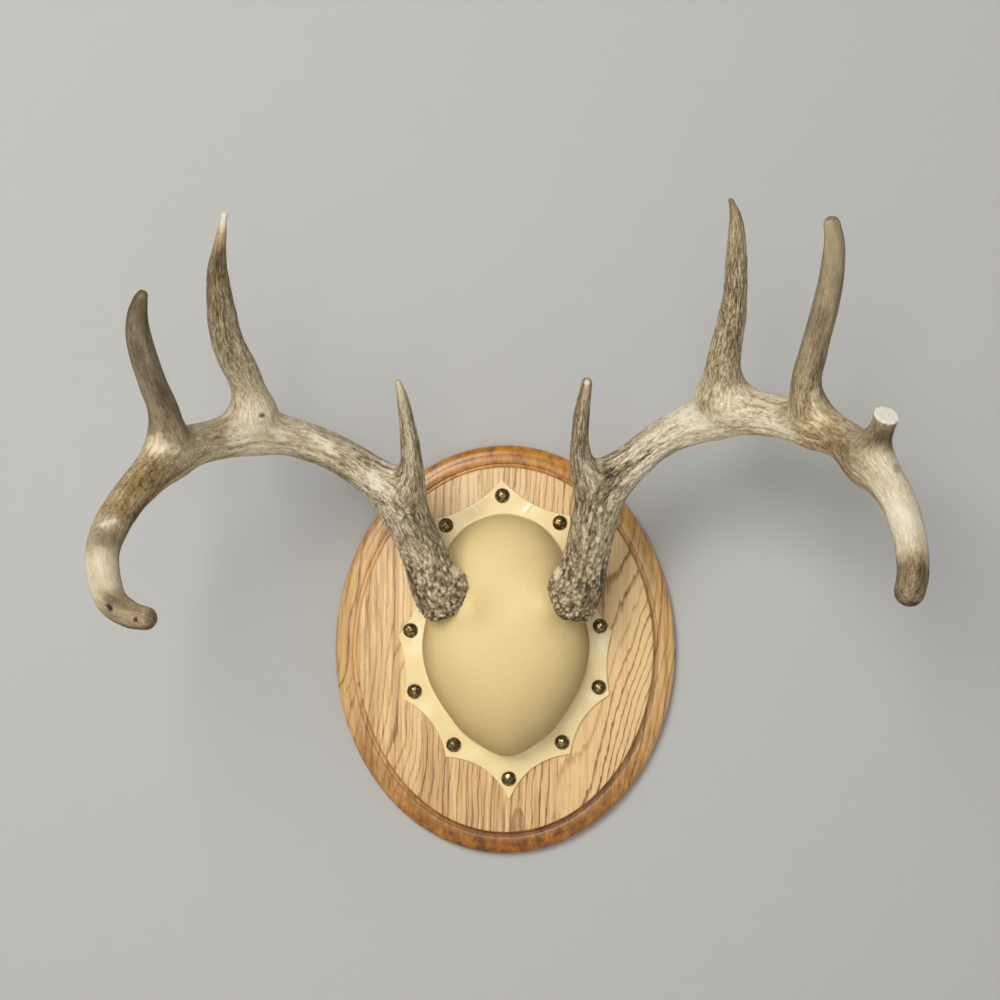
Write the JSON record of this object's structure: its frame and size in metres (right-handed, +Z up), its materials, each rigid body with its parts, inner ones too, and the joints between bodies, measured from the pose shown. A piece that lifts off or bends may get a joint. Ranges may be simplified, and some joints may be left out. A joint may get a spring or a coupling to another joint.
{
  "type": "pair of deer antlers on an oval wall plaque",
  "caption": "Pair of branching deer antlers standing out from an oval oak wall plaque, over a domed skull cover held by decorative nails.",
  "frame": {"origin": "centre of the plaque's flat back face, which lies on the wall", "axes": "+Z up, +X to the viewer's right, +Y into the wall; the antlers stand out towards -Y"},
  "size_m": [0.5085, 0.3379, 0.4532],
  "materials": {
    "dark_oak": "golden-brown stained oak under satin lacquer",
    "light_oak": "natural oak under satin lacquer",
    "cover_vinyl": "cream moulded leather-grain cover, matt dome and glossier skirt",
    "bone": "dry pale bone",
    "old_brass": "dark antique brass",
    "antler": "cream and brown weathered antler, grooved, pearled at the foot",
    "steel": "zinc-plated steel"
  },
  "bodies": {
    "root": {"backboard": "dark_oak", "face_panel": "light_oak", "skull_cover": "cover_vinyl", "skull_plate": "bone", "nail_01": "old_brass", "nail_02": "old_brass", "nail_03": "old_brass", "nail_04": "old_brass", "nail_05": "old_brass", "nail_06": "old_brass", "nail_07": "old_brass", "nail_08": "old_brass", "nail_09": "old_brass", "nail_10": "old_brass", "left_main_beam": "antler", "left_brow_tine": "antler", "left_second_tine": "antler", "left_third_tine": "antler", "right_main_beam": "antler", "right_brow_tine": "antler", "right_second_tine": "antler", "right_third_tine": "antler", "right_fourth_tine": "antler", "hanger_block": "dark_oak", "hanger_plate": "steel", "hanger_screw_1": "steel", "hanger_screw_2": "steel", "mounting_screw_1": "steel", "mounting_screw_2": "steel"}
  },
  "joints": []
}
